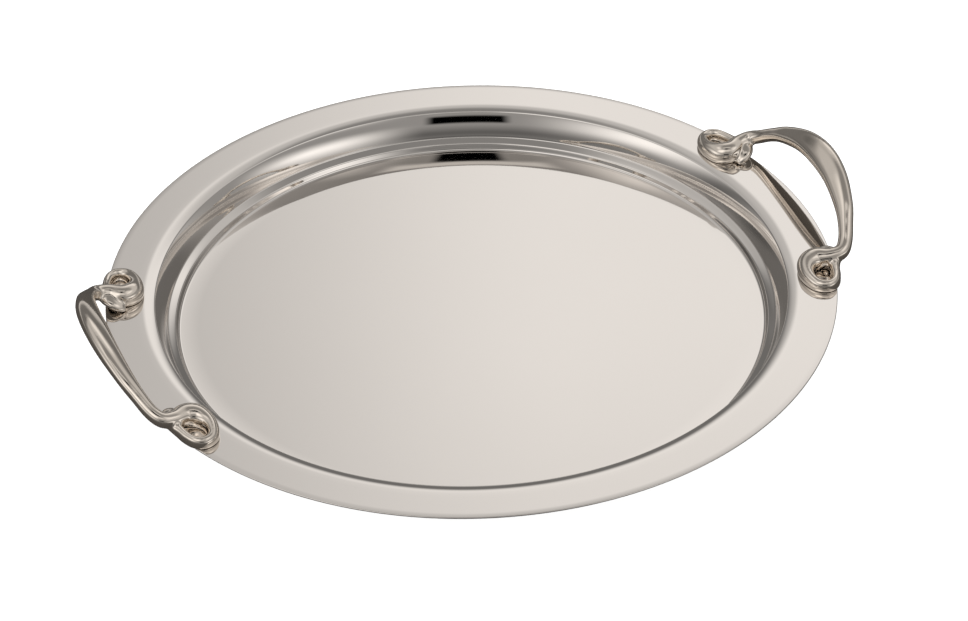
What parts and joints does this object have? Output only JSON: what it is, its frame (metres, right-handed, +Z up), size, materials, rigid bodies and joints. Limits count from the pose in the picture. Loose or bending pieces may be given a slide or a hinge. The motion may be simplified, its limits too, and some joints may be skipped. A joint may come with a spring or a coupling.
{
  "type": "serving tray",
  "caption": "Round mirror-polished serving tray with a flat rim, a stepped well and two fixed cast arch handles with knotted feet.",
  "frame": {"origin": "centre of the underside of the floor, which is also the bottom centre of the whole part's box", "axes": "+Z up out of the well, +X through the middle of the handle named handle_right, +Y along the handles' grips"},
  "size_m": [0.4366, 0.4, 0.0566],
  "materials": {
    "tray_steel": "mirror-polished stainless sheet",
    "handle_nickel": "bright polished nickel plate, slightly warm",
    "fastener_steel": "plain machine-screw steel"
  },
  "bodies": {
    "root": {"tray_body": "tray_steel", "handle_right": "handle_nickel", "handle_left": "handle_nickel", "screw_right_back": "fastener_steel", "screw_right_front": "fastener_steel", "screw_left_back": "fastener_steel", "screw_left_front": "fastener_steel", "washer_right_back": "fastener_steel", "washer_right_front": "fastener_steel", "washer_left_back": "fastener_steel", "washer_left_front": "fastener_steel"}
  },
  "joints": []
}
